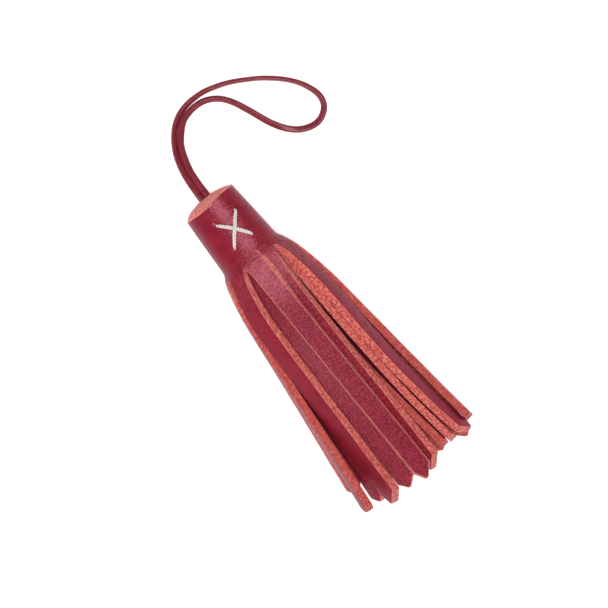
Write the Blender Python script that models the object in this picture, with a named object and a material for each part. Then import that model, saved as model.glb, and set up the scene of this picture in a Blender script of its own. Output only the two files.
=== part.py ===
# Leather key tassel. One thick piece of leather, slit into a fringe along one side, is rolled up
# round both ends of a leather lace, and one cross-stitch closes the seam of the roll. The tassel
# lies on a surface with its fringe towards +X. Metres, +Z up.

import math
from collections import namedtuple

import bmesh
import bpy
from mathutils import Matrix, Vector

MM = 0.001
SMOOTH_ANGLE = math.radians(35)

# Head: the unslit side of the leather, rolled up. Its rim is at x = 0 until the part is centred.
RIM_RADIUS = 9.35 * MM
HEAD_TAPER = 0.066
AXIS_HEIGHT = 10.5 * MM
FLARE_START = 19.5 * MM
HEAD_END = 22.4 * MM
HEAD_END_SPREAD_SIDE = 1.25 * MM
HEAD_END_SPREAD_TOP = 0.1 * MM
HEAD_END_STEPS = 4
HEAD_SIDES = 48

# Roll end: the turns of the leather, each standing a little further out than the one round it
TURNS = 2.5
TURN_PITCH = 2.2 * MM
TURN_THICKNESS = 2.0 * MM
TURN_RISE = 0.9 * MM
TURN_STEPS = 32
OUTER_RIM = 0.2 * MM
TUCK = 0.25
TURN_FOOT = 1.6 * MM
ROLL_FLOOR = 0.9 * MM
SEAM_ANGLE = 8
SKIVED_EDGE = 0.25 * MM
CORE_RADIUS = 4.1 * MM
CORE_TOP = -2.1 * MM

# Loose strips
LEATHER = 2.5 * MM
SPREAD_LENGTH = 12.0 * MM
SPREAD_POWER = 1.3
POINT_HALF_WIDTH = 0.5 * MM
STATIONS = [19.0, 21.0, 22.4, 23.8, 25.4, 27.2, 29.4, 32.0, 35.5, 40.0, 47.0, 56.0, 68.0, 80.0, 92.0]

# Rings of strips in the head, in millimetres: outer distance from the axis, half width outside,
# half width inside and thickness of a strip at its root
Ring = namedtuple("Ring", "outer half_outside half_inside thickness")
RINGS = {
    1: Ring(10.15, 3.05, 2.42, 2.0),
    2: Ring(7.3, 2.5, 2.0, 2.0),
    3: Ring(4.5, 2.4, 1.6, 1.8),
}

# One row a strip, in millimetres and degrees. The angle is the strip's place in the head, from the
# top towards +Y. The shoulder is where it settles as it leaves the head and the tip is its far end,
# each with y, z and roll, which is 0 with the grain side up. bend says how late it leaves the
# shoulder's line, point is the length of its cut point, and lean moves the point to the left (-1)
# or the right (1) edge.
Strip = namedtuple("Strip", "ring angle y1 z1 roll1 y2 z2 roll2 bend width end point lean")
STRIPS = {
    "front_left": Strip(1, -5, -0.6, 20.6, -4, -0.4, 12.4, 3, 1.3, 6.4, 112.6, 4.1, -0.2),
    "front_right": Strip(1, 26, 3.25, 16.7, -22, 3.9, 9.6, -50, 1.9, 6.2, 112.3, 4.6, -0.8),
    "right_upper": Strip(1, 62, 12.9, 15.0, 58, 18.7, 8.0, 58, 3.2, 6.4, 109.9, 3.4, 0.3),
    "right_lower": Strip(1, 98, 14.3, 7.8, 94, 21.95, 5.8, 88, 1.3, 6.2, 107.3, 2.0, 0.2),
    "floor_right": Strip(1, 134, 10.9, 2.2, 168, 17.6, 1.25, 180, 1.3, 6.2, 111.8, 3.4, 0),
    "floor_middle": Strip(1, 170, -0.4, 1.25, 180, -1.8, 1.25, 180, 1.3, 6.2, 107.8, 3.4, 0),
    "floor_left": Strip(1, 206, -8.0, 1.7, 187, -12.5, 1.25, 180, 1.3, 6.2, 105.8, 3.0, 0),
    "left_lower": Strip(1, 242, -13.0, 3.05, 262, -22.1, 2.6, 206, 1.3, 5.2, 104.0, 3.0, 0),
    "left_upper": Strip(1, 278, -14.0, 9.2, 272, -22.4, 9.6, 286, 1.3, 6.2, 109.4, 2.0, 0.3),
    "front_edge": Strip(1, 317, -11.6, 17.0, 322, -13.4, 9.9, 304, 1.3, 7.4, 112.8, 4.2, -0.45),
    "second_front": Strip(2, 340, -5.4, 15.8, 350, -6.8, 9.2, 355, 1.3, 6.2, 112.0, 3.1, -0.15),
    "second_right": Strip(2, 25, 5.0, 11.3, 74, 10.3, 7.7, 88, 2.0, 6.2, 108.8, 2.4, 0.0),
    "second_side": Strip(2, 78, 9.0, 12.8, 89, 13.4, 8.7, 90, 3.2, 6.2, 109.0, 2.4, 0.4),
    "second_floor_right": Strip(2, 130, 9.0, 5.7, 166, 8.5, 1.25, 180, 2.0, 6.2, 110.4, 3.0, 0),
    "second_floor": Strip(2, 180, -2.6, 4.0, 180, -4.6, 3.95, 180, 1.3, 6.0, 103.8, 3.0, 0),
    "second_floor_left": Strip(2, 232, -8.7, 5.4, 204, -11.3, 4.0, 180, 1.3, 5.2, 103.8, 3.0, 0),
    "second_left": Strip(2, 288, -11.5, 9.4, 292, -17.2, 3.3, 308, 1.5, 6.0, 110.6, 2.4, 0.3),
    "core_top": Strip(3, -36, -1.2, 12.7, 0, -1.6, 6.85, 0, 1.3, 5.6, 105.8, 3.0, 0.0),
    "core_floor": Strip(3, 150, 1.9, 7.4, 180, 2.9, 4.5, 180, 2.2, 5.6, 104.8, 3.0, 0.0),
    "core_left": Strip(3, 242, -6.4, 9.3, 332, -8.6, 6.85, 360, 1.3, 5.4, 107.8, 3.0, 0.0),
}

# Loop lace: the route of its middle in plan, in millimetres, out of the head, round and back
LACE_WIDTH = 1.9 * MM
LACE_REST = 1.0 * MM
LACE_POCKET_HALF = 1.1 * MM
LACE_POCKET_DEPTH = 0.3 * MM
LACE_TOUCHDOWN = 34.0 * MM
LACE_SPACING = 4.0 * MM
ROUTE_STEPS = 12
CLEARANCE = 0.3 * MM
LACE_ROUTE = [
    (0.0, -1.1), (-2.9, -1.1), (-9.5, -0.7), (-14.5, 0.2), (-18.9, 1.8), (-22.7, 4.2),
    (-25.7, 7.1), (-27.7, 10.5), (-28.8, 15.0), (-28.6, 20.6), (-27.3, 25.3), (-25.6, 29.5),
    (-22.8, 34.4), (-19.9, 38.7), (-16.0, 43.1), (-12.0, 46.4), (-8.1, 48.4), (-4.6, 49.3),
    (-1.4, 48.7), (1.0, 46.4), (2.0, 43.3), (1.4, 39.9), (-0.4, 36.7), (-3.4, 33.9),
    (-7.9, 31.3), (-13.8, 29.0), (-19.0, 26.8), (-22.5, 24.6), (-24.7, 22.2), (-26.2, 19.1),
    (-26.6, 15.7), (-26.2, 12.5), (-25.1, 9.7), (-22.8, 7.05), (-19.95, 4.65), (-16.3, 3.02),
    (-11.8, 1.72), (-7.2, 1.22), (-2.9, 1.1), (0.0, 1.1),
]

# Cross-stitch of flat thread. Each arm has the places of its two awl holes, in millimetres, and its
# height over the other arm.
THREAD_WIDTH = 1.3 * MM
THREAD_HEIGHT = 0.7 * MM
THREAD_SIDES = 8
HOLE_RADIUS = 0.95 * MM
HOLE_DEPTH = 1.6 * MM
HOLE_SIDES = 12
CUTTER_OVERSHOOT = 2.0 * MM
STITCH_STEPS = 20
HUMP_SHARE = 0.15
Arm = namedtuple("Arm", "x1 y1 x2 y2 hump")
ARMS = {
    "stitch_lower": Arm(6.1, -2.7, 15.5, 4.5, 0.0),
    "stitch_upper": Arm(5.9, 5.25, 15.6, -2.8, 1.05),
}


def blend(a, b, share):
    return a + (b - a) * share


def around(x, radius, angle):
    # Point at a distance from the head's axis, the angle counted from the top towards +Y
    turn = math.radians(angle)
    return Vector((x, radius * math.sin(turn), AXIS_HEIGHT + radius * math.cos(turn)))


def make_material(name, colour, roughness):
    material = bpy.data.materials.new(name)
    material.use_nodes = True
    shader = material.node_tree.nodes["Principled BSDF"]
    shader.inputs["Base Color"].default_value = (*colour, 1.0)
    shader.inputs["Roughness"].default_value = roughness
    shader.inputs["Metallic"].default_value = 0.0
    return material


def add_object(name, data, collection, material):
    item = bpy.data.objects.new(name, data)
    data.materials.append(material)
    collection.objects.link(item)
    return item


def loft(name, rings):
    # Closed body through rings of equal point counts, with a flat cap at each end
    shape = bmesh.new()
    loops = [[shape.verts.new(point) for point in ring] for ring in rings]
    for near, far in zip(loops, loops[1:]):
        for i in range(len(near)):
            j = (i + 1) % len(near)
            shape.faces.new((near[i], near[j], far[j], far[i]))
    shape.faces.new(reversed(loops[0]))
    shape.faces.new(loops[-1])
    bmesh.ops.recalc_face_normals(shape, faces=shape.faces)
    return finish_mesh(name, shape)


def finish_mesh(name, shape):
    mesh = bpy.data.meshes.new(name)
    shape.to_mesh(mesh)
    shape.free()
    mesh.shade_smooth()
    mesh.set_sharp_from_angle(angle=SMOOTH_ANGLE)
    return mesh


def head_radius(x, angle):
    # The head widens evenly to the start of the slits and then spreads to its sides
    radius = RIM_RADIUS + HEAD_TAPER * min(x, FLARE_START)
    share = max(0.0, x - FLARE_START) / (HEAD_END - FLARE_START)
    turn = math.radians(angle)
    side = HEAD_END_SPREAD_SIDE * math.sin(turn) ** 2
    top = HEAD_END_SPREAD_TOP * max(0.0, math.cos(turn))
    return radius + (side + top) * share ** 2


def head_ring(x, radius=None):
    ring = []
    for i in range(HEAD_SIDES):
        angle = 360 * i / HEAD_SIDES
        point = around(x, radius or head_radius(x, angle), angle)
        point.z = max(point.z, 0.0)
        ring.append(point)
    return ring


def head_body():
    rings = [head_ring(CORE_TOP, CORE_RADIUS), head_ring(ROLL_FLOOR, CORE_RADIUS)]
    rings.append(head_ring(ROLL_FLOOR))
    rings.append(head_ring(FLARE_START))
    for i in range(1, HEAD_END_STEPS + 1):
        rings.append(head_ring(blend(FLARE_START, HEAD_END, i / HEAD_END_STEPS)))
    return loft("fringed_roll", rings)


def turn_radius(turns):
    # The outer turn keeps its radius up to the seam, and the leather tucks under itself there
    if turns < 1:
        return RIM_RADIUS
    whole = math.floor(turns)
    tucked = min(1.0, (turns - whole) / TUCK)
    return RIM_RADIUS - TURN_PITCH * (whole - 1 + tucked)


def rolled_end():
    # Ribbon of leather wound inwards from the seam, its outer end skived thin to lie flush
    rings = []
    steps = int(TURNS * TURN_STEPS)
    for i in range(steps + 1):
        turns = i / TURN_STEPS
        angle = SEAM_ANGLE - 360 * turns
        outer = turn_radius(turns)
        thickness = blend(SKIVED_EDGE, TURN_THICKNESS, min(1.0, turns / TUCK))
        inner = outer - thickness
        rim = OUTER_RIM - TURN_RISE * turns
        rings.append([
            around(rim, outer, angle),
            around(TURN_FOOT, outer, angle),
            around(TURN_FOOT, inner, angle),
            around(rim, inner, angle),
        ])
    return loft("rolled_end", rings)


def strip_section(strip, x):
    # Place, directions and half sizes of a strip at x: it leaves its place in the head, settles on
    # its shoulder and then drifts to its tip
    ring = RINGS[strip.ring]
    run = max(0.0, x - FLARE_START)
    spread = 1 - math.exp(-(run / SPREAD_LENGTH) ** SPREAD_POWER)
    drift = (run / (strip.end * MM - FLARE_START)) ** strip.bend
    flare = 0.0
    if strip.ring == 1:
        widened = min(1.0, run / (HEAD_END - FLARE_START)) ** 2
        flare = HEAD_END_SPREAD_SIDE * math.sin(math.radians(strip.angle)) ** 2 * widened
    root = around(x, (ring.outer - ring.thickness / 2) * MM + flare, strip.angle)
    y = blend(root.y, strip.y1 * MM, spread) + (strip.y2 - strip.y1) * MM * drift
    z = blend(root.z, strip.z1 * MM, spread) + (strip.z2 - strip.z1) * MM * drift
    roll_at_root = strip.angle + 360 if strip.roll1 - strip.angle > 180 else strip.angle
    rolled = 1 - (1 - spread) ** 2
    roll = blend(roll_at_root, strip.roll1, rolled) + (strip.roll2 - strip.roll1) * drift
    outside = blend(ring.half_outside, strip.width / 2, spread) * MM
    inside = blend(ring.half_inside, strip.width / 2, spread) * MM
    half = blend(ring.thickness * MM, LEATHER, spread) / 2
    turn = math.radians(roll)
    across = Vector((0, math.cos(turn), -math.sin(turn)))
    grain = Vector((0, math.sin(turn), math.cos(turn)))
    middle = Vector((x, y, z))
    return middle, across, grain, outside, inside, half


def strip_ring(strip, x, pointed=False):
    middle, across, grain, outside, inside, half = strip_section(strip, x)
    if pointed:
        middle = middle + across * strip.lean * (outside - POINT_HALF_WIDTH)
        outside = POINT_HALF_WIDTH
        inside = POINT_HALF_WIDTH
    corners = [
        middle - across * outside + grain * half,
        middle + across * outside + grain * half,
        middle + across * inside - grain * half,
        middle - across * inside - grain * half,
    ]
    for corner in corners:
        corner.z = max(corner.z, 0.0)
    return corners


def strip_mesh(name, strip):
    stations = STATIONS + [strip.end - strip.point]
    rings = [strip_ring(strip, x * MM) for x in stations]
    rings.append(strip_ring(strip, strip.end * MM, pointed=True))
    return loft(name, rings)


def smooth_route(points, spacing):
    # Catmull-Rom curve through hand-placed points, read at an even spacing
    fine = []
    padded = [points[0] * 2 - points[1]] + points + [points[-1] * 2 - points[-2]]
    for p0, p1, p2, p3 in zip(padded, padded[1:], padded[2:], padded[3:]):
        for i in range(ROUTE_STEPS):
            t = i / ROUTE_STEPS
            square = (2 * p0 - 5 * p1 + 4 * p2 - p3) * t ** 2
            cube = (3 * p1 - p0 - 3 * p2 + p3) * t ** 3
            fine.append(0.5 * (2 * p1 + (p2 - p0) * t + square + cube))
    fine.append(points[-1])
    total = sum((b - a).length for a, b in zip(fine, fine[1:]))
    count = round(total / spacing)
    step = total / count
    even = [fine[0]]
    travelled = 0.0
    for a, b in zip(fine, fine[1:]):
        length = (b - a).length
        while len(even) < count and travelled + length >= step * len(even):
            even.append(a.lerp(b, (step * len(even) - travelled) / length))
        travelled += length
    even.append(fine[-1])
    return even


def lace_height(distance):
    # Level with the head's axis where it comes out, and flat on the surface further on
    share = min(1.0, max(0.0, distance) / LACE_TOUCHDOWN)
    return blend(AXIS_HEIGHT, LACE_REST, share ** 2 * (3 - 2 * share))


def lace_curve():
    plan = [Vector((x * MM, y * MM, 0.0)) for x, y in LACE_ROUTE]
    route = smooth_route(plan, LACE_SPACING)
    lengths = [0.0]
    for a, b in zip(route, route[1:]):
        lengths.append(lengths[-1] + (b - a).length)
    for point, length in zip(route, lengths):
        point.z = lace_height(min(length, lengths[-1] - length))
    curve = bpy.data.curves.new("loop_lace", "CURVE")
    curve.dimensions = "3D"
    curve.bevel_depth = LACE_WIDTH / 2
    curve.bevel_resolution = 2
    curve.use_fill_caps = True
    spline = curve.splines.new("POLY")
    spline.points.add(len(route) - 1)
    for place, point in zip(spline.points, route):
        place.co = (*point, 1.0)
    return curve


def peg(name, radius, top, bottom):
    # Round cutter from one point to another
    shape = bmesh.new()
    along = top - bottom
    turn = Vector((0, 0, 1)).rotation_difference(along).to_matrix().to_4x4()
    place = Matrix.Translation((top + bottom) / 2) @ turn
    bmesh.ops.create_cone(shape, cap_ends=True, segments=HOLE_SIDES, radius1=radius, radius2=radius,
                          depth=along.length, matrix=place)
    return finish_mesh(name, shape)


def lace_pocket():
    # Slot in the middle of the roll's end, wide enough for the two legs of the lace
    top = around(CORE_TOP - CUTTER_OVERSHOOT, 0, 0)
    bottom = around(LACE_POCKET_DEPTH, 0, 0)
    mesh = peg("lace_pocket", LACE_WIDTH / 2 + CLEARANCE, top, bottom)
    for vertex in mesh.vertices:
        vertex.co.y += math.copysign(LACE_POCKET_HALF, vertex.co.y)
    return mesh


def on_head(x, y, lift):
    # Point over the top of the head
    angle = math.degrees(math.asin(y / head_radius(x, 0)))
    return around(x, head_radius(x, angle) + lift, angle)


def arm_path(arm):
    # Places on the head and heights over it: out of one hole, along the head and into the other
    start = Vector((arm.x1, arm.y1)) * MM
    end = Vector((arm.x2, arm.y2)) * MM
    run = (end - start).normalized()
    rest = CLEARANCE + THREAD_HEIGHT / 2
    deep = HOLE_DEPTH - CLEARANCE
    turn = [(0.0, -deep), (0.0, -deep / 2), (0.1, rest - THREAD_HEIGHT), (0.4, rest - THREAD_HEIGHT / 4)]
    path = [(start + run * THREAD_HEIGHT * inward, lift) for inward, lift in turn]
    for i in range(1, STITCH_STEPS):
        share = i / STITCH_STEPS
        hump = arm.hump * MM * math.exp(-((share - 0.5) / HUMP_SHARE) ** 2)
        path.append((start.lerp(end, share), rest + hump))
    path += [(end - run * THREAD_HEIGHT * inward, lift) for inward, lift in reversed(turn)]
    return [on_head(place.x, place.y, lift) for place, lift in path]


def arm_mesh(name, arm):
    path = arm_path(arm)
    across = Vector((arm.y1 - arm.y2, arm.x2 - arm.x1, 0)).normalized()
    rings = []
    for i, point in enumerate(path):
        before = path[max(i - 1, 0)]
        after = path[min(i + 1, len(path) - 1)]
        along = (after - before).normalized()
        side = (across - along * across.dot(along)).normalized()
        up = along.cross(side)
        ring = []
        for k in range(THREAD_SIDES):
            turn = 2 * math.pi * (k + 0.5) / THREAD_SIDES
            wide = side * (THREAD_WIDTH / 2 * math.cos(turn))
            high = up * (THREAD_HEIGHT / 2 * math.sin(turn))
            ring.append(point + wide + high)
        rings.append(ring)
    return loft(name, rings)


def arm_holes(name, arm):
    # Awl holes, straight down into the head
    holes = {}
    for end, x, y in (("start", arm.x1, arm.y1), ("end", arm.x2, arm.y2)):
        top = on_head(x * MM, y * MM, CUTTER_OVERSHOOT)
        bottom = on_head(x * MM, y * MM, -HOLE_DEPTH)
        hole = name + "_hole_" + end
        holes[hole] = peg(hole, HOLE_RADIUS, top, bottom)
    return holes


def add_boolean(item, operation, collection):
    modifier = item.modifiers.new(operation.lower(), "BOOLEAN")
    modifier.operation = operation
    modifier.operand_type = "COLLECTION"
    modifier.collection = collection
    modifier.solver = "EXACT"


def new_collection(name, parent):
    collection = bpy.data.collections.new(name)
    parent.children.link(collection)
    return collection


def make_guide(item):
    item.hide_render = True
    item.display_type = "WIRE"


def main():
    for item in list(bpy.data.objects):
        bpy.data.objects.remove(item, do_unlink=True)

    root = bpy.context.scene.collection
    tassel = new_collection("leather_key_tassel", root)
    strips = new_collection("strips", root)
    cutters = new_collection("cutters", root)

    leather = make_material("red_leather", (0.262, 0.017, 0.032), 0.42)
    lace_leather = make_material("lace_leather", (0.205, 0.013, 0.023), 0.38)
    thread = make_material("cream_thread", (0.723, 0.658, 0.578), 0.6)

    roll = add_object("fringed_roll", head_body(), tassel, leather)
    make_guide(add_object("rolled_end", rolled_end(), strips, leather))
    for name, strip in STRIPS.items():
        make_guide(add_object(name, strip_mesh(name, strip), strips, leather))
    make_guide(add_object("lace_pocket", lace_pocket(), cutters, leather))
    for name, arm in ARMS.items():
        for hole, mesh in arm_holes(name, arm).items():
            make_guide(add_object(hole, mesh, cutters, leather))
    add_boolean(roll, "UNION", strips)
    add_boolean(roll, "DIFFERENCE", cutters)

    lace = add_object("loop_lace", lace_curve(), tassel, lace_leather)
    arms = [add_object(name, arm_mesh(name, arm), tassel, thread) for name, arm in ARMS.items()]

    # The part's origin is under the middle of the roll's box
    frame = bpy.data.objects.new("frame", None)
    tassel.objects.link(frame)
    everything = [roll, lace] + arms + list(strips.objects) + list(cutters.objects)
    for item in everything:
        item.parent = frame
    bpy.context.view_layer.update()
    solid = roll.evaluated_get(bpy.context.evaluated_depsgraph_get())
    corners = [Vector(corner) for corner in solid.bound_box]
    low = Vector([min(corner[i] for corner in corners) for i in range(3)])
    high = Vector([max(corner[i] for corner in corners) for i in range(3)])
    frame.location = (-(low.x + high.x) / 2, -(low.y + high.y) / 2, -low.z)


main()
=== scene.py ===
import math
from collections import namedtuple

import bmesh
import bpy
from mathutils import Matrix, Vector, noise


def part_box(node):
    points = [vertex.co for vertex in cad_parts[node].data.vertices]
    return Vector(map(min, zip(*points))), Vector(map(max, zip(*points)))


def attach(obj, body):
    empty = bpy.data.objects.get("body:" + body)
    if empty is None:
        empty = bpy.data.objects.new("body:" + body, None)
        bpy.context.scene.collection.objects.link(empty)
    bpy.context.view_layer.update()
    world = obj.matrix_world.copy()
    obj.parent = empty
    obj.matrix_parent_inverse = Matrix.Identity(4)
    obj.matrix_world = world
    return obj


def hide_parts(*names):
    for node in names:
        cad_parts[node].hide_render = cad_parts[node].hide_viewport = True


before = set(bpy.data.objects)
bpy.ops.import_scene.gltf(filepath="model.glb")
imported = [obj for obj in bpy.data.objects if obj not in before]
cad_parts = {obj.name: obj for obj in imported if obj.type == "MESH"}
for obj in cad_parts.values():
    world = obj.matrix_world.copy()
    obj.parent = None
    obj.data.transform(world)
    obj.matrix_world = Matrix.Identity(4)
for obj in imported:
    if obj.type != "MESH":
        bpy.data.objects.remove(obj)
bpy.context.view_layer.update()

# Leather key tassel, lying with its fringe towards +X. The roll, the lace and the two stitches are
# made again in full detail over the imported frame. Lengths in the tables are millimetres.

mm = 0.001

# Where the head lies in the frame of the CAD: its core stands out of the rim by coreRise, and its
# axis runs along the frame's X axis, a little to the side of it and above the surface
coreRise = 2.1
axisAcross = 0.664
axisHeight = 10.5
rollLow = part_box("fringed_roll")[0]
partPlace = Vector((rollLow.x / mm + coreRise, axisAcross, 0.0))


def toFrame(point):
    return (point + partPlace) * mm


def blend(a, b, share):
    return a + (b - a) * share


def smooth(share):
    share = min(1.0, max(0.0, share))
    return share * share * (3 - 2 * share)


def rising(x, start, length):
    # 0 up to start and 1 from a length beyond it, with a soft step between
    return smooth((x - start) / length)


def uneven(height, u, v, seed):
    # A slow irregular swell, the same in every run
    return height * noise.noise(Vector((u, v, seed)))


def around(x, radius, angle):
    # A point round the head's axis, the angle counted from the top towards +Y
    turn = math.radians(angle)
    return Vector((x, radius * math.sin(turn), axisHeight + radius * math.cos(turn)))


# Camera, at the angle of the photograph: straight down but for a small tilt towards the head
cameraValues = {
    "tilt": 6.0,
    "turn": 51.0,
    "lens": 150.0,
    "sensor": 36.0,
    "distance": 805.0,
    "along": 43.68,
    "across": 3.25,
    "height": 10.35,
}


def makeCamera(values):
    tilt = math.radians(values["tilt"])
    turn = math.radians(values["turn"])
    along = Vector((math.cos(tilt), 0, math.sin(tilt)))
    across = Vector((0, 1, 0))
    back = Vector((-math.sin(tilt), 0, math.cos(tilt)))
    right = math.cos(turn) * along + math.sin(turn) * across
    up = math.cos(turn) * across - math.sin(turn) * along
    middle = Vector((0, 0, values["height"])) + along * values["along"] + across * values["across"]
    lens = bpy.data.cameras.new("camera")
    lens.lens = values["lens"]
    lens.sensor_width = values["sensor"]
    camera = bpy.data.objects.new("camera", lens)
    bpy.context.scene.collection.objects.link(camera)
    matrix = Matrix((right, up, back)).transposed().to_4x4()
    matrix.translation = toFrame(middle + back * values["distance"])
    camera.matrix_world = matrix
    bpy.context.scene.camera = camera
    print("camera placed")


makeCamera(cameraValues)


# Small helpers for materials

def newMaterial(name):
    material = bpy.data.materials.new(name)
    material.use_nodes = True
    tree = material.node_tree
    return material, tree, tree.nodes["Principled BSDF"]


def addNode(tree, kind, **values):
    made = tree.nodes.new(kind)
    for name, value in values.items():
        made.inputs[name.capitalize()].default_value = value
    return made


def readAttribute(tree, name, output):
    made = tree.nodes.new("ShaderNodeAttribute")
    made.attribute_name = name
    return made.outputs[output]


def stretched(tree, vector, scale):
    made = addNode(tree, "ShaderNodeMapping", scale=scale)
    tree.links.new(vector, made.inputs["Vector"])
    return made.outputs["Vector"]


def noiseOn(tree, vector, scale, detail=2.0, roughness=0.5):
    made = addNode(tree, "ShaderNodeTexNoise", scale=scale, detail=detail, roughness=roughness)
    tree.links.new(vector, made.inputs["Vector"])
    return made.outputs["Fac"]


def remap(tree, value, low, high, bottom=0.0, top=1.0):
    made = tree.nodes.new("ShaderNodeMapRange")
    made.inputs["From Min"].default_value = low
    made.inputs["From Max"].default_value = high
    made.inputs["To Min"].default_value = bottom
    made.inputs["To Max"].default_value = top
    tree.links.new(value, made.inputs["Value"])
    return made.outputs["Result"]


def maths(tree, operation, first, second):
    made = tree.nodes.new("ShaderNodeMath")
    made.operation = operation
    for socket, value in zip(made.inputs, (first, second)):
        if isinstance(value, (int, float)):
            socket.default_value = value
        else:
            tree.links.new(value, socket)
    return made.outputs["Value"]


def mixColour(tree, factor, first, second):
    made = tree.nodes.new("ShaderNodeMix")
    made.data_type = "RGBA"
    tree.links.new(factor, made.inputs[0])
    for socket, value in ((made.inputs[6], first), (made.inputs[7], second)):
        if isinstance(value, tuple):
            socket.default_value = (*value, 1.0)
        else:
            tree.links.new(value, socket)
    return made.outputs[2]


def bumpFrom(tree, height, distance, under=None):
    made = addNode(tree, "ShaderNodeBump", strength=1.0, distance=distance * mm)
    tree.links.new(height, made.inputs["Height"])
    if under:
        tree.links.new(under, made.inputs["Normal"])
    return made.outputs["Normal"]


def setShader(shader, values):
    for name, value in values.items():
        shader.inputs[name].default_value = value


# Small helpers for meshes

def ofKind(items, kind):
    return [item for item in items if isinstance(item, kind)]


def newObject(name, bm, materials):
    mesh = bpy.data.meshes.new(name)
    bm.to_mesh(mesh)
    bm.free()
    mesh.shade_smooth()
    for material in materials:
        mesh.materials.append(material)
    made = bpy.data.objects.new(name, mesh)
    bpy.context.scene.collection.objects.link(made)
    return made


def sweep(rings, corners, squareness):
    # Tube swept through rings: each is a middle, a side, an up direction, a width and a height.
    # The attribute run holds a point's place across, over and along the tube.
    bm = bmesh.new()
    bmesh.ops.create_circle(bm, cap_ends=False, segments=corners, radius=1.0)
    slot = bm.verts.layers.int.new("slot")
    runPlace = bm.verts.layers.float_vector.new("run")
    for k, vert in enumerate(bm.verts):
        vert[slot] = k
    verts = bm.verts[:]
    edges = bm.edges[:]
    travelled = 0.0
    for i, (middle, side, up, width, height) in enumerate(rings):
        if i:
            made = bmesh.ops.extrude_edge_only(bm, edges=edges)["geom"]
            verts = ofKind(made, bmesh.types.BMVert)
            ends = set(verts)
            edges = [edge for edge in ofKind(made, bmesh.types.BMEdge) if ends.issuperset(edge.verts)]
            travelled += (middle - rings[i - 1][0]).length
        for vert in verts:
            turn = 2 * math.pi * (vert[slot] + 0.5) / corners
            wide = math.copysign(abs(math.cos(turn)) ** squareness, math.cos(turn)) * width / 2
            high = math.copysign(abs(math.sin(turn)) ** squareness, math.sin(turn)) * height / 2
            vert.co = toFrame(middle + side * wide + up * high)
            vert[runPlace] = Vector((wide, high, travelled))
    bmesh.ops.holes_fill(bm, edges=bm.edges[:], sides=0)
    bmesh.ops.recalc_face_normals(bm, faces=bm.faces[:])
    return bm


# Loop lace: a flat leather lace, both ends of which go into the head. From there it sinks to the
# surface over the length touchdown. The route is the CAD's.
lace = {
    "width": 2.15,
    "thickness": 1.4,
    "restHeight": 1.1,
    "touchdown": 34.0,
    "spacing": 1.2,
    "routeSteps": 12,
    "length": 170.9,
    "corners": 24,
    "squareness": 0.55,
    "dye": ((0.15, 0.008, 0.018), (0.25, 0.016, 0.030)),
    "wearAndSheenColour": (0.42, 0.075, 0.10),
    "wearAndSheenShare": 0.45,
    "streakDepth": 0.05,
    "finish": {
        "Roughness": 0.36,
        "Specular IOR Level": 0.35,
        "Sheen Weight": 0.12,
        "Sheen Roughness": 0.4,
        "Sheen Tint": (1.0, 0.5, 0.8, 1.0),
    },
}
laceRoute = [
    (0.0, -1.1), (-2.9, -1.1), (-9.5, -0.7), (-14.5, 0.2), (-18.9, 1.8), (-22.7, 4.2),
    (-25.7, 7.1), (-27.7, 10.5), (-28.8, 15.0), (-28.6, 20.6), (-27.3, 25.3), (-25.6, 29.5),
    (-22.8, 34.4), (-19.9, 38.7), (-16.0, 43.1), (-12.0, 46.4), (-8.1, 48.4), (-4.6, 49.3),
    (-1.4, 48.7), (1.0, 46.4), (2.0, 43.3), (1.4, 39.9), (-0.4, 36.7), (-3.4, 33.9),
    (-7.9, 31.3), (-13.8, 29.0), (-19.0, 26.8), (-22.5, 24.6), (-24.7, 22.2), (-26.2, 19.1),
    (-26.6, 15.7), (-26.2, 12.5), (-25.1, 9.7), (-22.8, 7.05), (-19.95, 4.65), (-16.3, 3.02),
    (-11.8, 1.72), (-7.2, 1.22), (-2.9, 1.1), (0.0, 1.1),
]
tableRow = namedtuple("tableRow", "place value")
# How the lace is turned along its length, in degrees: 0 lies flat and 90 stands on its edge
laceTurns = [
    tableRow(0.0, 20),
    tableRow(0.06, 26),
    tableRow(0.15, 40),
    tableRow(0.26, 66),
    tableRow(0.34, 75),
    tableRow(0.42, 72),
    tableRow(0.50, 50),
    tableRow(0.57, 15),
    tableRow(0.64, -30),
    tableRow(0.74, -50),
    tableRow(0.84, -34),
    tableRow(0.94, -24),
    tableRow(1.0, -20),
]


def evenRoute(points, spacing, steps):
    # Catmull-Rom curve through the given points, read at an even spacing
    fine = []
    padded = [points[0] * 2 - points[1]] + points + [points[-1] * 2 - points[-2]]
    for p0, p1, p2, p3 in zip(padded, padded[1:], padded[2:], padded[3:]):
        for i in range(steps):
            t = i / steps
            square = (2 * p0 - 5 * p1 + 4 * p2 - p3) * t ** 2
            cube = (3 * p1 - p0 - 3 * p2 + p3) * t ** 3
            fine.append(0.5 * (2 * p1 + (p2 - p0) * t + square + cube))
    fine.append(points[-1])
    total = sum((b - a).length for a, b in zip(fine, fine[1:]))
    count = round(total / spacing)
    even = [fine[0]]
    travelled = 0.0
    for a, b in zip(fine, fine[1:]):
        length = (b - a).length
        while len(even) < count and travelled + length >= total / count * len(even):
            even.append(a.lerp(b, (total / count * len(even) - travelled) / length))
        travelled += length
    even.append(fine[-1])
    return even


def tableAt(rows, place):
    for near, far in zip(rows, rows[1:]):
        if place <= far.place:
            share = rising(place, near.place, far.place - near.place)
            return blend(near.value, far.value, share)
    return rows[-1].value


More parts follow.
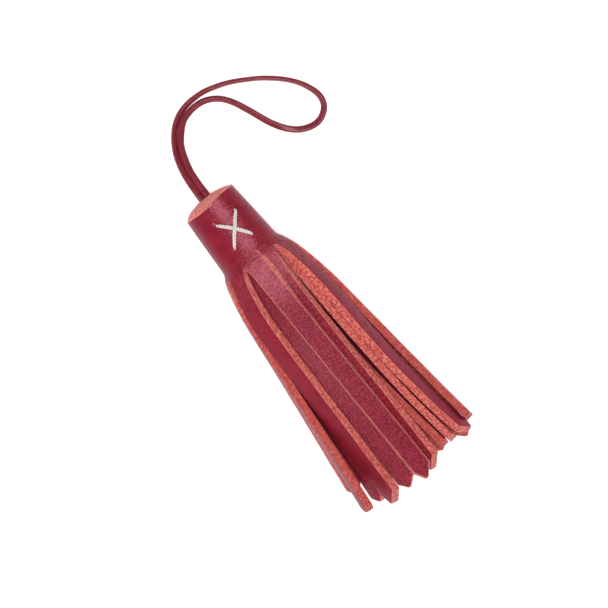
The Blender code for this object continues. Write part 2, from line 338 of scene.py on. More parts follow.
def makeLaceMaterial(values):
    material, tree, shader = newMaterial("satinLace")
    run = readAttribute(tree, "run", "Vector")
    dye = noiseOn(tree, run, 0.35, detail=3.0)
    colour = mixColour(tree, remap(tree, dye, 0.3, 0.7), *values["dye"])
    # Lighter streaks along the lace, raised in the bump: wear and painted highlight
    streaks = noiseOn(tree, stretched(tree, run, (5.0, 5.0, 0.35)), 1.0, detail=4.0)
    wearAndSheen = remap(tree, streaks, 0.5, 0.72, 0.0, values["wearAndSheenShare"])
    colour = mixColour(tree, wearAndSheen, colour, values["wearAndSheenColour"])
    tree.links.new(colour, shader.inputs["Base Color"])
    tree.links.new(bumpFrom(tree, streaks, values["streakDepth"]), shader.inputs["Normal"])
    setShader(shader, values["finish"])
    return material


def makeLace(values):
    plan = [Vector((x, y, 0.0)) for x, y in laceRoute]
    route = evenRoute(plan, values["spacing"], values["routeSteps"])
    lengths = [0.0]
    for a, b in zip(route, route[1:]):
        lengths.append(lengths[-1] + (b - a).length)
    for point, length in zip(route, lengths):
        near = min(length, lengths[-1] - length)
        point.z = blend(axisHeight, values["restHeight"], smooth(near / values["touchdown"]))
    rings = []
    for i, point in enumerate(route):
        along = (route[min(i + 1, len(route) - 1)] - route[max(i - 1, 0)]).normalized()
        level = along.cross(Vector((0, 0, 1))).normalized()
        turn = math.radians(tableAt(laceTurns, lengths[i] / lengths[-1]))
        side = level * math.cos(turn) + along.cross(level) * math.sin(turn)
        rings.append((point, side, along.cross(side), values["width"], values["thickness"]))
    bm = sweep(rings, values["corners"], values["squareness"])
    made = newObject("loopLace", bm, [makeLaceMaterial(values)])
    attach(made, "root")
    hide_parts("loop_lace")
    print("lace made,", round(lengths[-1], 1), "mm in plan")


makeLace(lace)


# The roll: one strip of thick leather, slit into a fringe along one side and wound up from its seam
# inwards. It is first laid out as a flat pattern of numbered rows and columns, and then every point
# goes to its place in the roll or in its strand.
roll = {
    # Outside of the head, which widens a little on its way down and then flares into the shoulder
    "rimRadius": 9.35,
    "taper": 0.066,
    "flareStart": 19.5,
    "flareEnd": 22.4,
    "flareEase": 0.35,
    "flareSide": 1.25,
    "flareTop": 0.1,
    "dents": 0.1,
    # Turns of leather in the head and the pocket of the lace in their middle
    "headEnd": 22.0,
    "headRows": 44,
    "pitch": 2.1,               # from one turn of the leather to the next
    "pitchGrowth": 0.022,
    "thickness": 2.0,
    "thicknessGrowth": 0.022,
    "tuck": 0.25,               # share of a turn in which the leather dives under the last turn
    "lastTurn": 4.2,
    "lastCells": 40,
    "pocketTurn": 3,            # from here on the leather lies against the lace
    "laceHalfWidth": 2.25,
    "laceHalfHeight": 0.95,
    # Cut end of the head
    "moundFoot": -0.7,
    "mound": 1.75,
    "moundPower": 1.7,
    "rimReach": 6.0,
    "rimFade": 1.3,
    "rimRounding": 0.12,
    "rimRagged": 0.2,
    # Seam, with a groove on each side of it, and the strand that climbs over its neighbour below it
    "seamAngle": 8.0,
    "seamRow": 16.5,
    "seamBlend": 4.0,
    "skived": 0.3,              # thickness that is left at the seam's edge
    "seamThickness": 1.7,
    "grooveNear": 0.28,
    "grooveFar": 0.24,
    "grooveWidth": 1.3,
    "seamSlit": 18.2,
    "climbStart": 17.2,
    "climbLength": 3.5,
    "climbEnd": 24.0,
    "climbFade": 22.0,
    "climbAcross": (0.1, 1.1),  # on the grain side and on the flesh side
    "climbUp": 0.7,
    # Strands
    "openLength": 3.8,          # from the top of a slit to where the strand has left the head
    "spreadLength": 12.0,
    "spreadPower": 1.3,
    "leather": 2.5,
    "slantOutside": -0.22,      # the knife leaned: a strand is narrower on its grain side
    "slantInside": 0.32,
    "edgeBand": 0.2,            # the columns next to a cut edge stand this far from it
    "cornerRound": 0.07,
    "crown": 0.22,
    "crownFoot": 0.1,
    "wave": 0.16,
    "ragged": 0.09,
    "strandRows": 40,
    "rowCrowding": 1.25,
    "tipRows": 7,
    "tipZone": 3.0,
    "tipFlat": 0.14,
    "floorGap": 0.03,
    "degreeLength": 0.148,      # of leather, for each degree of winding
    "layers": (0.0, 0.05, 0.35, 0.65, 0.95, 1.0),       # from the grain side to the flesh side
    # Where raw leather shows at the corners, with a painted highlight on the top strands' cut edges at
    # the shoulder, and how much lighter the grain is painted, as wear and as painted highlight, and less
    # where painted shade falls
    "rimRaw": 0.95,
    "shoulderEdgeHighlight": 0.8,
    "shoulderSide": 0.6,        # only on strands that come out near the top, as a cosine
    "shoulderStart": 19.0,
    "shoulderRise": 7.0,
    "shoulderEnd": 27.0,
    "shoulderFade": 18.0,
    "shoulderHighlight": 1.7,
    "smoothGrain": 0.04,
    "seamHighlight": 2.3,
    "seamHighlightWidth": 16.0,
    "coreGrain": 0.3,
    "rimGrain": 0.3,
    "grainStart": 16.0,
    "grainLength": 8.0,
    "endStart": 55.0,
    "endLength": 45.0,
    "endLoss": 0.35,
    "innerShade": 0.51,
    "innerEnd": 34.0,
    "innerFade": 24.0,
    # Looks
    "dye": ((0.195, 0.005, 0.014), (0.275, 0.010, 0.024)),
    "pebbleScale": 1.75,
    "pebbleSoftness": 0.35,
    "pebbleWearAndHighlight": (0.67, 0.15, 0.185),
    "pebbleDepth": 0.2,
    "highlightColour": (0.54, 0.17, 0.215),
    "hollowShadeColour": (0.12, 0.005, 0.014),
    "fibrousAndLit": (0.88, 0.36, 0.28),
    "roughness": (0.36, 0.5),
    "grainFinish": {
        "Specular IOR Level": 0.18,
        "Specular Tint": (0.64, 0.62, 1.0, 1.0),
        "Sheen Weight": 0.05,
        "Sheen Roughness": 0.35,
        "Sheen Tint": (0.45, 0.4, 1.0, 1.0),
    },
    "cutColours": ((0.38, 0.032, 0.030), (0.70, 0.115, 0.093), (0.86, 0.27, 0.225)),
    "fleshColours": ((0.30, 0.035, 0.032), (0.56, 0.095, 0.082), (0.70, 0.20, 0.17)),
    "cutFinish": {
        "Roughness": 0.85,
        "Specular IOR Level": 0.25,
        "Sheen Weight": 0.2,
        "Sheen Roughness": 0.6,
        "Sheen Tint": (1.0, 0.75, 0.7, 1.0),
    },
}
# How far down the head the rim's outer corner is, by the angle wound from the seam
rimTable = [
    tableRow(0, 0.05),
    tableRow(30, -0.1),
    tableRow(98, 0.15),
    tableRow(180, 0.0),
    tableRow(262, -0.4),
    tableRow(300, -0.7),
    tableRow(330, -0.9),
    tableRow(360, -0.85),
]
# The rings of leather in the head that the strands come out of
ringRow = namedtuple("ringRow", "outer halfOutside halfInside thickness")
ringTable = {
    1: ringRow(10.15, 3.05, 3.2, 2.0),
    2: ringRow(7.3, 2.5, 2.0, 2.0),
    3: ringRow(4.5, 2.4, 1.6, 1.8),
}
# One row a strand, in the order in which they follow along the leather from the seam. until is how
# far the winding has turned at the strand's far edge, slit the top of the slit there, cells the
# number of columns and grain how much lighter the grain side is painted, as wear and as painted
# highlight, whose lowest values also paint shade on the strand's cut edges. The second line is the
# strand's lie, as in the CAD.
strandRow = namedtuple("strandRow", "name until slit cells grain "
                       "ring angle y1 z1 roll1 y2 z2 roll2 bend width end point lean under")
strands = [
    strandRow("frontLeft", 34, 22.5, 12, 0.85,
              1, -5, -0.6, 20.6, -4, -0.4, 12.4, 3, 1.3, 6.4, 112.6, 4.1, -0.2, 0.5),
    strandRow("frontEdge", 71, 22.0, 10, 0.15,
              1, -43, -11.6, 17.0, -38, -13.4, 9.9, -56, 1.3, 7.4, 112.8, 4.2, -0.45, 0.8),
    strandRow("leftUpper", 107, 23.0, 8, 0.05,
              1, -82, -14.0, 9.2, -88, -22.4, 9.6, -74, 1.3, 6.2, 109.4, 2.0, 0.3, 0.4),
    strandRow("leftLower", 144, 23.0, 8, 0.05,
              1, -118, -13.0, 3.05, -98, -22.1, 2.6, -154, 1.3, 5.2, 104.0, 3.0, 0, 0.4),
    strandRow("floorLeft", 180, 23.0, 8, 0.4,
              1, -154, -8.0, 1.7, -173, -12.5, 1.25, -180, 1.3, 6.2, 105.8, 3.0, 0, 0.4),
    strandRow("floorMiddle", 216, 23.0, 8, 0.4,
              1, -190, -0.4, 1.25, -180, -1.8, 1.25, -180, 1.3, 6.2, 107.8, 3.4, 0, 0.4),
    strandRow("floorRight", 252, 23.0, 8, 0.4,
              1, -226, 10.9, 2.2, -192, 17.6, 1.25, -180, 1.3, 6.2, 111.8, 3.4, 0, 0.4),
    strandRow("rightLower", 290, 24.0, 8, 0.05,
              1, -262, 14.3, 7.8, -266, 21.95, 5.8, -272, 1.3, 6.2, 107.3, 2.0, 0.2, 0.4),
    strandRow("rightUpper", 326, 21.6, 8, 0.2,
              1, -298, 12.9, 15.0, -302, 18.7, 8.0, -302, 3.2, 6.4, 109.9, 3.4, 0.3, 0.8),
    strandRow("frontRight", 360, 21.6, 12, 0.7,
              1, -334, 3.25, 16.7, -382, 3.9, 9.6, -410, 1.9, 6.2, 112.3, 4.6, -0.8, 0.5),
    strandRow("secondFront", 414, 22.0, 6, 1.3,
              2, -380, -5.4, 15.8, -370, -6.8, 9.2, -365, 1.3, 6.2, 112.0, 3.1, -0.15, 0.4),
    strandRow("secondLeft", 466, 22.0, 6, 0.4,
              2, -432, -11.5, 9.4, -428, -17.2, 3.3, -412, 1.5, 6.0, 110.6, 2.4, 0.3, 0.4),
    strandRow("secondFloorLeft", 522, 22.0, 6, 0.4,
              2, -488, -8.7, 5.4, -516, -11.3, 4.0, -540, 1.3, 5.2, 103.8, 3.0, 0, 0.4),
    strandRow("secondFloor", 573, 22.0, 6, 0.4,
              2, -540, -2.6, 4.0, -540, -4.6, 3.95, -540, 1.3, 6.0, 103.8, 3.0, 0, 0.4),
    strandRow("secondFloorRight", 624, 22.0, 6, 0.4,
              2, -590, 9.0, 5.7, -554, 8.5, 1.25, -540, 2.0, 6.2, 110.4, 3.0, 0, 0.4),
    strandRow("secondSide", 676, 22.0, 6, 0.4,
              2, -642, 9.0, 12.8, -631, 13.4, 8.7, -630, 3.2, 6.2, 109.0, 2.4, 0.4, 0.4),
    strandRow("secondRight", 720, 22.0, 6, 0.05,
              2, -695, 5.0, 11.3, -646, 10.3, 7.7, -632, 2.0, 6.2, 108.8, 2.4, 0.0, 0.4),
    strandRow("coreTop", 808, 22.0, 6, 0.4,
              3, -756, -1.2, 12.7, -720, -1.6, 6.85, -720, 1.3, 5.6, 105.8, 3.0, 0.0, 0.4),
    strandRow("coreLeft", 898, 22.0, 6, 0.4,
              3, -838, -6.4, 9.3, -748, -8.6, 6.85, -720, 1.3, 5.4, 107.8, 3.0, 0.0, 0.4),
    strandRow("coreFloor", 988, 22.0, 6, 0.4,
              3, -930, 1.9, 7.4, -900, 2.9, 4.5, -900, 2.2, 5.6, 104.8, 3.0, 0.0, 0.4),
]

# Cross-stitch of flat waxed thread, drawn down into four holes
stitch = {
    "width": 1.22,
    "height": 0.72,
    "steps": 28,
    "clearance": 0.12,
    "holeDepth": 1.2,
    "dimple": 0.55,
    "dimpleRadius": 0.62,
    "corners": 20,
    "squareness": 0.8,
    "humpShare": 0.15,
    "holeFullness": 0.55,
    "endFullness": 0.5,
    "fullnessPower": 0.35,
    "frayRadius": 0.5,
    "plyShadeAndColour": ((0.46, 0.39, 0.36), (0.80, 0.71, 0.67)),
    "plyDepth": 0.1,
    "fibreColour": (0.88, 0.82, 0.78),
    "fibreDepth": 0.05,
    "finish": {"Roughness": 0.55, "Sheen Weight": 0.2},
}
# The holes of each arm, its height over the other arm and its bow
armRow = namedtuple("armRow", "name node x1 y1 x2 y2 hump bow")
arms = [
    armRow("threadLower", "stitch_lower", 6.1, -2.7, 15.5, 4.5, 0.0, 0.4),
    armRow("threadUpper", "stitch_upper", 5.9, 5.25, 15.6, -2.8, 0.7, -0.25),
]
# Raw leather pulled up beside the holes
frayRow = namedtuple("frayRow", "x y amount")
frays = [
    frayRow(5.35, -3.05, 0.9),
    frayRow(15.8, -2.8, 1.0),
    frayRow(16.3, 4.9, 0.5),
]


def headRadius(x, angle):
    radius = roll["rimRadius"] + roll["taper"] * min(max(x, 0.0), roll["flareStart"])
    share = max(0.0, x - roll["flareStart"]) / (roll["flareEnd"] - roll["flareStart"])
    if share > 1:
        share = 1 + (share - 1) * roll["flareEase"]
    turn = math.radians(angle)
    side = roll["flareSide"] * math.sin(turn) ** 2
    top = roll["flareTop"] * max(0.0, math.cos(turn))
    return radius + (side + top) * share ** 2


def dimpleAt(x, side):
    # The leather is drawn in round each hole
    depth = 0.0
    for arm in arms:
        for holeX, holeY in ((arm.x1, arm.y1), (arm.x2, arm.y2)):
            away = math.hypot(x - holeX, side - holeY)
            depth += stitch["dimple"] * math.exp(-(away / stitch["dimpleRadius"]) ** 2)
    return depth


def frayAt(x, side):
    amount = 0.0
    for fray in frays:
        away = math.hypot(x - fray.x, side - fray.y)
        amount += fray.amount * math.exp(-(away / stitch["frayRadius"]) ** 2)
    return amount


def rimAt(theta, depth, radius):
    # How far down the head the cut edge is: it steps at the seam and swells into a mound round the lace
    mound = roll["mound"] * (1 - min(1.0, max(0.0, radius / roll["rimRadius"])) ** roll["moundPower"])
    height = roll["moundFoot"] - mound
    if theta < 360:
        height = blend(height, tableAt(rimTable, theta), (1 - depth) ** roll["rimFade"])
    rounded = roll["rimRounding"] * (2 * depth - 1) ** 4
    ragged = uneven(roll["rimRagged"], theta * 0.04, depth * 1.2, 4.0)
    return height + rounded + ragged


def headPoint(row, theta, depth):
    # row is how far down the head, in millimetres from the rim
    angle = roll["seamAngle"] - theta
    turns = theta / 360
    outer = headRadius(row, angle)
    pitch = roll["pitch"] + roll["pitchGrowth"] * row
    thickness = roll["thickness"] + roll["thicknessGrowth"] * row
    if turns < 1:
        below = rising(row, roll["seamRow"], roll["seamBlend"])
        edge = blend(roll["skived"], roll["seamThickness"], below)
        thickness = blend(edge, thickness, min(1.0, turns / roll["tuck"]))
        outer -= dimpleAt(row, outer * math.sin(math.radians(angle)))
        near = roll["grooveNear"] * math.exp(-theta / roll["grooveWidth"])
        far = roll["grooveFar"] * math.exp(-(360 - theta) / roll["grooveWidth"])
        outer -= near + far
        outer += uneven(roll["dents"], row * 0.12, angle * 0.03, 1.0)
    else:
        whole = math.floor(turns)
        tucked = smooth((turns - whole) / roll["tuck"])
        outer -= pitch * (whole - 1 + tucked)
    inner = outer - thickness
    if turns > roll["pocketTurn"]:
        turn = math.radians(angle)
        wide = math.sin(turn) / roll["laceHalfWidth"]
        high = math.cos(turn) / roll["laceHalfHeight"]
        inner = blend(inner, 1 / math.hypot(wide, high), rising(turns, roll["pocketTurn"], roll["tuck"]))
    radius = blend(outer, inner, depth)
    x = row + rimAt(theta, depth, radius) * max(0.0, 1 - row / roll["rimReach"])
    return around(x, radius, angle)


def strandPoint(strand, x, across, depth):
    # The strand fans out from its ring while it turns flat, and then drifts on to where its end lies
    ring = ringTable[strand.ring]
    run = max(0.0, x - roll["flareStart"])
    spread = 1 - math.exp(-(run / roll["spreadLength"]) ** roll["spreadPower"])
    drift = (run / (strand.end - roll["flareStart"])) ** strand.bend
    flare = roll["flareSide"] * math.sin(math.radians(strand.angle)) ** 2 if strand.ring == 1 else 0
    root = around(x, ring.outer - ring.thickness / 2 + flare, strand.angle)
    y = blend(root.y, strand.y1, spread) + (strand.y2 - strand.y1) * drift
    z = blend(root.z, strand.z1, spread) + (strand.z2 - strand.z1) * drift
    angle = blend(strand.angle, strand.roll1, 1 - (1 - spread) ** 2)
    angle += (strand.roll2 - strand.roll1) * drift
    outside = blend(ring.halfOutside, strand.width / 2 + roll["slantOutside"], spread)
    inside = blend(ring.halfInside, strand.width / 2 + roll["slantInside"], spread)
    half = blend(ring.thickness, roll["leather"], spread) / 2
    turn = math.radians(angle)
    side = Vector((0, math.cos(turn), -math.sin(turn)))
    grain = Vector((0, math.sin(turn), math.cos(turn)))
    seed = strand.until * 0.37
    wave = uneven(roll["wave"] * spread, x * 0.07, seed, 0.0)
    ragged = uneven(roll["ragged"] * spread, x * 0.22, seed, math.copysign(5.0, across))
    crown = spread * (roll["crown"] * (1 - across ** 2) - roll["crownFoot"])
    wide = across * (blend(outside, inside, depth) + ragged)
    high = half - 2 * half * depth + crown * (1 - depth) + wave
    return Vector((x, y, z)) + side * wide + grain * high


def tipAt(strand, across, depth):
    # The far end of a column: the strand is cut to a blunt point, a little undercut
    reach = 1 + strand.lean if across < strand.lean else 1 - strand.lean
    away = max(0.0, abs(across - strand.lean) - roll["tipFlat"])
    cut = strand.point * away / max(0.05, reach - roll["tipFlat"])
    return strand.end - cut + strand.under * (depth - 0.5)


def softCorner(across, depth, width):
    # Takes the sharpness off the corners of a strand's section
    if abs(across) == 1 and depth in (0, 1):
        across *= 1 - roll["cornerRound"] / width * 2
        depth = blend(depth, 0.5, roll["cornerRound"] / roll["leather"] * 2)
    return across, depth


def sheetColumns():
    # Angle wound and strand of every column, with its place across the strand from 1 to -1
    columns = []
    start = 0.0
    for k, strand in enumerate(strands):
        band = 2 * roll["edgeBand"] / strand.width
        places = [1.0, 1.0 - band]
        places += [1 - 2 * i / strand.cells for i in range(1, strand.cells)]
        places += [band - 1.0, -1.0]
        for place in places[:-1]:
            columns.append((blend(strand.until, start, (place + 1) / 2), k, place))
        start = strand.until
    last = roll["lastTurn"] * 360
    for i in range(roll["lastCells"] + 1):
        columns.append((blend(start, last, i / roll["lastCells"]), None, 0.0))
    return columns


def patternSheet(rowCount, columnCount, layerCount):
    # Flat slab on whole numbers: x counts rows, y counts columns and z counts layers
    bm = bmesh.new()
    bmesh.ops.create_grid(bm, x_segments=rowCount, y_segments=columnCount, size=0.5)
    for vert in bm.verts:
        vert.co.x = round((vert.co.x + 0.5) * rowCount)
        vert.co.y = round((vert.co.y + 0.5) * columnCount)
    faces = bm.faces[:]
    for i in range(layerCount):
        under = faces
        made = bmesh.ops.extrude_face_region(bm, geom=under)["geom"]
        faces = ofKind(made, bmesh.types.BMFace)
        bmesh.ops.translate(bm, verts=ofKind(made, bmesh.types.BMVert), vec=(0, 0, 1))
        if i:
            bmesh.ops.delete(bm, geom=under, context="FACES")
    return bm


def cutStrands(bm, strandOf, columns, rowCount):
    # Pulls every strand out of the slab's end by itself, so that slits are left between them
    endFaces = [[] for strand in strands]
    for face in bm.faces:
        owner = columns[int(face.calc_center_median().y)][1]
        if owner is not None and all(vert.co.x > rowCount - 0.5 for vert in face.verts):
            endFaces[owner].append(face)
    ends = []
    for k, faces in enumerate(endFaces):
        ends += pullOut(bm, faces, strandOf, k + 1)
    for i in range(1, roll["strandRows"] + roll["tipRows"]):
        ends = pullOut(bm, ends, strandOf, None)
    print(len(strands), "strands slit, from", strands[0].name, "to", strands[-1].name)


def pullOut(bm, faces, strandOf, number):
    # Extrudes end faces by one row; the new points keep their strand's number once they have one
    made = bmesh.ops.extrude_face_region(bm, geom=faces)["geom"]
    for vert in ofKind(made, bmesh.types.BMVert):
        vert.co.x += 1
        if number:
            vert[strandOf] = number
    bmesh.ops.delete(bm, geom=faces, context="FACES")
    return ofKind(made, bmesh.types.BMFace)


def rowAlongStrand(strand, step, across, depth):
    # How far down the tassel a strand's row is: close together at the slit and at the tip
    zone = strand.end - strand.point - roll["tipZone"]
    if step <= roll["strandRows"]:
        return blend(roll["headEnd"], zone, (step / roll["strandRows"]) ** roll["rowCrowding"])
    return blend(zone, tipAt(strand, across, depth), (step - roll["strandRows"]) / roll["tipRows"])


def slitAt(k, across):
    # Top of the slit beside a column, between those at the strand's two edges
    far = strands[k].slit
    near = strands[k - 1].slit if k else roll["seamSlit"]
    share = (across + 1) / 2
    return blend(far, near, share ** 2 if k == 0 else share)


def seamLift(k, x, across, depth):
    # The first strand's edge climbs over the last one's, below the stitch
    if k:
        return Vector((0, 0, 0))
    risen = rising(x, roll["climbStart"], roll["climbLength"])
    lift = risen * (1 - rising(x, roll["climbEnd"], roll["climbFade"])) * max(0.0, across) ** 2
    return Vector((0, blend(*roll["climbAcross"], depth), roll["climbUp"])) * lift


def bendHighlightAt(x):
    # 1 where the strands bend out of the head, 0 above and below it: where the shoulder's painted
    # highlight lies
    risen = rising(x, roll["shoulderStart"], roll["shoulderRise"])
    return risen * (1 - rising(x, roll["shoulderEnd"], roll["shoulderFade"]))


def wearAndLightAt(row, x, theta, k):
    # How much lighter the grain is painted: a painted highlight on the head's top on both sides of the
    # seam and on the shoulder, hardly any on the rest of the head, and each strand's own amount of wear
    # and painted light on the fringe, less towards the tips. The inner rings' strands get painted shade
    # near the head, where they lie under the outer turn.
    width = roll["seamHighlightWidth"]
    nearSeam = math.exp(-(theta / width) ** 2) + math.exp(-((theta - 360) / width) ** 2)
    onHead = roll["smoothGrain"] + roll["seamHighlight"] * nearSeam
    onStrand = roll["coreGrain"] if k is None else strands[k].grain
    onStrand *= 1 - roll["endLoss"] * rising(x, roll["endStart"], roll["endLength"])
    if k is not None and strands[k].ring > 1:
        onStrand *= 1 - roll["innerShade"] * (1 - rising(x, roll["innerEnd"], roll["innerFade"]))
    else:
        onStrand *= 1 + roll["shoulderHighlight"] * bendHighlightAt(x)
    grain = blend(onHead, onStrand, rising(x, roll["grainStart"], roll["grainLength"]))
    return max(grain, roll["rimGrain"]) if row == 0 else grain


def rollPlace(vert, strandOf, columns):
    # Where a point of the pattern goes, its place on the flat leather, its raw amount, with a painted
    # highlight on the top strands' edges at the shoulder, and its grain amount of wear, painted
    # highlight and painted shade
    row = round(vert.co.x)
    depth = roll["layers"][round(vert.co.z)]
    theta, k, across = columns[round(vert.co.y)]
    slit = vert[strandOf] > 0
    if slit:
        if k != vert[strandOf] - 1:     # the far edge of the strand before this column
            k = vert[strandOf] - 1
            across = -1.0
            theta = strands[k].until
        x = rowAlongStrand(strands[k], row - roll["headRows"], across, depth)
        onEdge = abs(across) == 1 or row == roll["headRows"] + roll["strandRows"] + roll["tipRows"]
    else:
        x = roll["headEnd"] * row / roll["headRows"]
        onEdge = row == 0
    place = headPoint(x, theta, depth)
    if k is not None:
        opened = min(1.0, max(0.0, (x - slitAt(k, across)) / roll["openLength"]))
        opened *= 2 - opened
        if opened > 0 and (slit or k == 0):
            softAcross, softDepth = softCorner(across, depth, strands[k].width)
            place = place.lerp(strandPoint(strands[k], x, softAcross, softDepth), opened)
            place += seamLift(k, x, across, depth)
    place.z = max(place.z, roll["floorGap"])
    flat = Vector((x, theta * roll["degreeLength"], depth * roll["leather"]))
    bareLeatherAndLit = 1.0 if onEdge and depth in (0, 1) else roll["rimRaw"] if row == 0 else 0.0
    if theta < 360 and depth == 0 and row < roll["headRows"]:
        bareLeatherAndLit += frayAt(x, place.y)
    # Painted highlight: the cut edges of the strands that come out near the top are painted pale over
    # the shoulder
    if slit and onEdge and math.cos(math.radians(strands[k].angle)) > roll["shoulderSide"]:
        bareLeatherAndLit = max(bareLeatherAndLit, roll["shoulderEdgeHighlight"] * bendHighlightAt(x))
    return place, flat, bareLeatherAndLit, wearAndLightAt(row, x, theta, k)


def makeRoll(materials):
    columns = sheetColumns()
    top = len(roll["layers"]) - 1
    bm = patternSheet(roll["headRows"], len(columns) - 1, top)
    strandOf = bm.verts.layers.int.new("strand")
    flatPlace = bm.verts.layers.float_vector.new("flat")
    bareLeatherAndLitOf = bm.verts.layers.float.new("bareLeatherAndLit")
    wearAndLightOf = bm.verts.layers.float.new("grain")
    cutStrands(bm, strandOf, columns, roll["headRows"])
    for face in bm.faces:
        levels = {round(vert.co.z) for vert in face.verts}
        face.material_index = 0 if levels == {0} else 2 if levels == {top} else 1
    places = {vert: rollPlace(vert, strandOf, columns) for vert in bm.verts}
    for vert, (place, flat, bareLeatherAndLit, grain) in places.items():
        vert.co = toFrame(place)
        vert[flatPlace] = flat
        vert[bareLeatherAndLitOf] = bareLeatherAndLit
        vert[wearAndLightOf] = grain
    bmesh.ops.recalc_face_normals(bm, faces=bm.faces[:])
    made = newObject("leatherRoll", bm, materials)
    weighted = made.modifiers.new("weighted", "WEIGHTED_NORMAL")
    weighted.mode = "FACE_AREA"
    weighted.weight = 60
    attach(made, "root")
    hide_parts("fringed_roll")
    print("roll made,", len(made.data.polygons), "faces")


def makeGrainMaterial(values):
    material, tree, shader = newMaterial("grainLeather")
    flat = readAttribute(tree, "flat", "Vector")
    bareLeatherAndLit = readAttribute(tree, "bareLeatherAndLit", "Fac")
    amount = readAttribute(tree, "grain", "Fac")
    dye = noiseOn(tree, flat, 0.22, detail=3.0)
    colour = mixColour(tree, remap(tree, dye, 0.3, 0.7), *values["dye"])
    pebble = addNode(tree, "ShaderNodeTexVoronoi", scale=values["pebbleScale"])
    pebble.feature = "SMOOTH_F1"
    pebble.inputs["Smoothness"].default_value = values["pebbleSoftness"]
    tree.links.new(stretched(tree, flat, (1.25, 0.75, 1.0)), pebble.inputs["Vector"])
    cells = pebble.outputs["Distance"]
    relief = remap(tree, amount, 0.1, 0.6)
    # Pebble tops painted lighter, as wear and painted highlight, and hollows darker, as painted shade;
    # all lighter where the grain attribute is high, as wear and as painted highlight
    pebbled = maths(tree, "MULTIPLY", remap(tree, cells, 0.1, 0.6, 0.18, -0.12), relief)
    light = maths(tree, "ADD", maths(tree, "MULTIPLY", amount, 0.25), pebbled)
    colour = mixColour(tree, light, colour, values["pebbleWearAndHighlight"])
    # Painted highlight: where the grain attribute is over 1, on the shoulder and beside the seam, the
    # colour goes towards a pale pink
    colour = mixColour(tree, remap(tree, amount, 1.0, 2.4, 0.0, 0.3), colour, values["highlightColour"])
    # Painted shade in the creases between the pebbles, deeper where the grain attribute is higher
    strength = remap(tree, amount, 0.0, 1.0, 0.0, 0.4)
    shadeInHollows = maths(tree, "MULTIPLY", remap(tree, cells, 0.35, 0.75), strength)
    colour = mixColour(tree, shadeInHollows, colour, values["hollowShadeColour"])
    patchy = remap(tree, noiseOn(tree, flat, 2.2, detail=3.0), 0.3, 0.55, 0.5, 1.0)
    # Pale raw leather at the corners and round the holes, and the painted highlight on the top strands'
    # edges at the shoulder
    fibrousAndLit = maths(tree, "MULTIPLY", remap(tree, bareLeatherAndLit, 0.35, 0.95), patchy)
    colour = mixColour(tree, fibrousAndLit, colour, values["fibrousAndLit"])
    tree.links.new(colour, shader.inputs["Base Color"])
    height = maths(tree, "MULTIPLY", remap(tree, cells, 0.1, 0.75, 1.0, 0.0), relief)
    normal = bumpFrom(tree, noiseOn(tree, flat, 6.0, detail=3.0), 0.02)
    normal = bumpFrom(tree, height, values["pebbleDepth"], normal)
    tree.links.new(normal, shader.inputs["Normal"])
    roughness = remap(tree, noiseOn(tree, flat, 0.8), 0.3, 0.7, *values["roughness"])
    tree.links.new(roughness, shader.inputs["Roughness"])
    setShader(shader, values["grainFinish"])
    return material


def makeCutMaterial(name, colours, finish):
    # Raw fibrous leather: the cut edges, and duller on the flesh side
    dark, middle, pale = colours
    material, tree, shader = newMaterial(name)
    flat = readAttribute(tree, "flat", "Vector")
    bareLeatherAndLit = readAttribute(tree, "bareLeatherAndLit", "Fac")
    amount = readAttribute(tree, "grain", "Fac")
    fibres = noiseOn(tree, stretched(tree, flat, (0.9, 2.6, 2.6)), 1.2, detail=5.0, roughness=0.65)
    mottle = noiseOn(tree, flat, 1.1, detail=4.0, roughness=0.7)
    specks = noiseOn(tree, stretched(tree, flat, (1.0, 1.5, 1.5)), 1.1, detail=3.0, roughness=0.7)
    colour = mixColour(tree, remap(tree, fibres, 0.41, 0.56), dark, middle)
    colour = mixColour(tree, remap(tree, mottle, 0.44, 0.64, 0.0, 0.95), colour, pale)
    patchy = remap(tree, mottle, 0.38, 0.56, 0.3, 1.0)
    # Pale fluff where raw leather shows at the corners, and the painted highlight on the top strands'
    # edges at the shoulder
    fluffAndLit = maths(tree, "MULTIPLY", remap(tree, bareLeatherAndLit, 0.2, 0.9, 0.0, 0.8), patchy)
    colour = mixColour(tree, fluffAndLit, colour, pale)
    colour = mixColour(tree, remap(tree, specks, 0.39, 0.49, 0.8, 0.0), colour, dark)
    # Painted shade: the cut edges and flesh of strands with the lowest grain amount, those lying in
    # shade at the sides and underneath, go towards the dark colour
    colour = mixColour(tree, remap(tree, amount, 0.05, 0.14, 0.5, 0.0), colour, dark)
    tree.links.new(colour, shader.inputs["Base Color"])
    normal = bumpFrom(tree, mottle, 0.3)
    normal = bumpFrom(tree, fibres, 0.12, normal)
    tree.links.new(normal, shader.inputs["Normal"])
    setShader(shader, finish)
    return material


grainLeather = makeGrainMaterial(roll)
cutLeather = makeCutMaterial("cutLeather", roll["cutColours"], roll["cutFinish"])
fleshLeather = makeCutMaterial("fleshLeather", roll["fleshColours"], roll["cutFinish"])
makeRoll([grainLeather, cutLeather, fleshLeather])


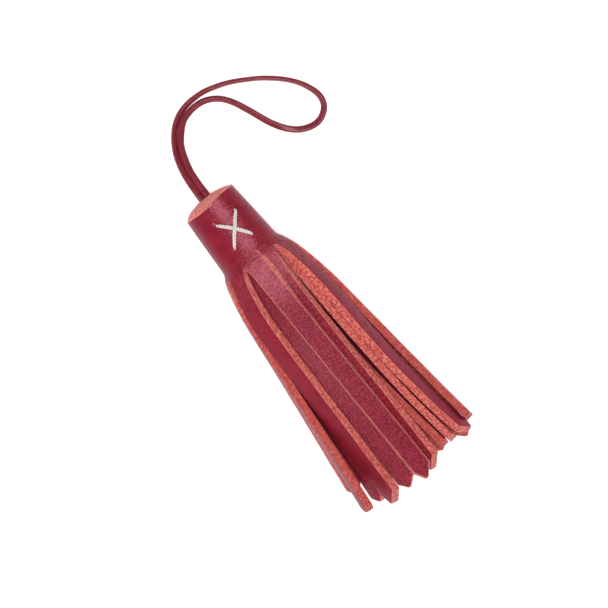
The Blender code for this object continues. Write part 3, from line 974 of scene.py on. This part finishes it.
def makeThreadMaterial(values):
    material, tree, shader = newMaterial("waxedThread")
    run = readAttribute(tree, "run", "Vector")
    ply = addNode(tree, "ShaderNodeTexWave", scale=0.42, distortion=1.2, detail=2.0)
    ply.bands_direction = "DIAGONAL"
    tree.links.new(stretched(tree, run, (1.0, 0.6, 1.3)), ply.inputs["Vector"])
    bands = ply.outputs["Fac"]
    fibres = noiseOn(tree, stretched(tree, run, (6.0, 6.0, 1.2)), 1.0, detail=4.0)
    # The darker ply colour is painted shade in the grooves between the twisted plies, where the bump is
    # low; the paler one is the thread's own colour
    colour = mixColour(tree, bands, *values["plyShadeAndColour"])
    colour = mixColour(tree, remap(tree, fibres, 0.35, 0.7, 0.0, 0.5), colour, values["fibreColour"])
    tree.links.new(colour, shader.inputs["Base Color"])
    normal = bumpFrom(tree, bands, values["plyDepth"])
    normal = bumpFrom(tree, fibres, values["fibreDepth"], normal)
    tree.links.new(normal, shader.inputs["Normal"])
    setShader(shader, values["finish"])
    return material


def armPath(arm, values):
    # Up out of one hole, over the head and down the other
    start = Vector((arm.x1, arm.y1))
    end = Vector((arm.x2, arm.y2))
    run = (end - start).normalized()
    sideways = Vector((-run.y, run.x))
    rest = values["clearance"] + values["height"] / 2
    thin = values["holeFullness"]
    # How far in from the hole and how high the thread is, from its end up to where it lies flat
    turnIn = [(0.0, -values["holeDepth"]), (0.0, -0.6), (0.12, -0.2), (0.35, rest * 0.6)]
    flat = [(start + run * inward, lift, thin) for inward, lift in turnIn]
    for i in range(2, values["steps"] - 1):
        share = i / values["steps"]
        hump = arm.hump * math.exp(-((share - 0.5) / values["humpShare"]) ** 2)
        bow = arm.bow * math.sin(math.pi * share)
        full = blend(values["endFullness"], 1.0, math.sin(math.pi * share) ** values["fullnessPower"])
        flat.append((start.lerp(end, share) + sideways * bow, rest + hump, full))
    flat += [(end - run * inward, lift, thin) for inward, lift in reversed(turnIn)]
    path = []
    for place, lift, full in flat:
        angle = math.degrees(math.asin(place.y / headRadius(place.x, 0)))
        path.append((around(place.x, headRadius(place.x, angle) + lift, angle), full))
    return path


def makeArm(arm, values, material):
    path = armPath(arm, values)
    across = Vector((arm.y1 - arm.y2, arm.x2 - arm.x1, 0)).normalized()
    rings = []
    for i, (point, full) in enumerate(path):
        along = (path[min(i + 1, len(path) - 1)][0] - path[max(i - 1, 0)][0]).normalized()
        side = (across - along * across.dot(along)).normalized()
        width = values["width"] * full
        height = values["height"] * math.sqrt(full)
        rings.append((point, side, along.cross(side), width, height))
    bm = sweep(rings, values["corners"], values["squareness"])
    made = newObject(arm.name, bm, [material])
    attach(made, "root")
    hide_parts(arm.node)


threadMaterial = makeThreadMaterial(stitch)
for arm in arms:
    makeArm(arm, stitch, threadMaterial)
print("stitch sewn")


# Pale floor and soft studio light
studio = {
    "floorSize": 3.0,
    "floorDrop": 0.02,
    "floorFinish": {
        "Base Color": (0.93, 0.93, 0.93, 1.0),
        "Roughness": 0.9,
        "Specular IOR Level": 0.0,
        "Emission Color": (1.0, 1.0, 1.0, 1.0),
        "Emission Strength": 0.55,
    },
    "skyStrength": 0.38,
    "keyPower": 4.0,
    "keySize": 0.34,
    "keyPlace": (0.0, -0.05, 0.75),
    "sidePower": 0.6,
    "sideSize": 0.6,
    "sidePlace": (0.05, -0.75, 0.45),
}


def makeFloor(values):
    bm = bmesh.new()
    bmesh.ops.create_grid(bm, x_segments=1, y_segments=1, size=values["floorSize"] / 2)
    bmesh.ops.translate(bm, verts=bm.verts[:], vec=(0, 0, -values["floorDrop"] * mm))
    material, tree, shader = newMaterial("paleFloor")
    setShader(shader, values["floorFinish"])
    floor = newObject("floor", bm, [material])


def makeLight(name, place, size, power):
    light = bpy.data.lights.new(name, "AREA")
    light.shape = "DISK"
    light.size = size
    light.energy = power
    made = bpy.data.objects.new(name, light)
    made.location = place
    made.rotation_euler = (-Vector(place)).to_track_quat("-Z", "Y").to_euler()
    bpy.context.scene.collection.objects.link(made)


def makeStudio(values):
    makeFloor(values)
    makeLight("keyLight", values["keyPlace"], values["keySize"], values["keyPower"])
    makeLight("sideLight", values["sidePlace"], values["sideSize"], values["sidePower"])
    world = bpy.data.worlds.new("studio")
    world.use_nodes = True
    sky = world.node_tree.nodes["Background"]
    sky.inputs["Color"].default_value = (1.0, 1.0, 1.0, 1.0)
    sky.inputs["Strength"].default_value = values["skyStrength"]
    bpy.context.scene.world = world
    bpy.context.scene.view_settings.view_transform = "Standard"
    print("studio lit")


makeStudio(studio)
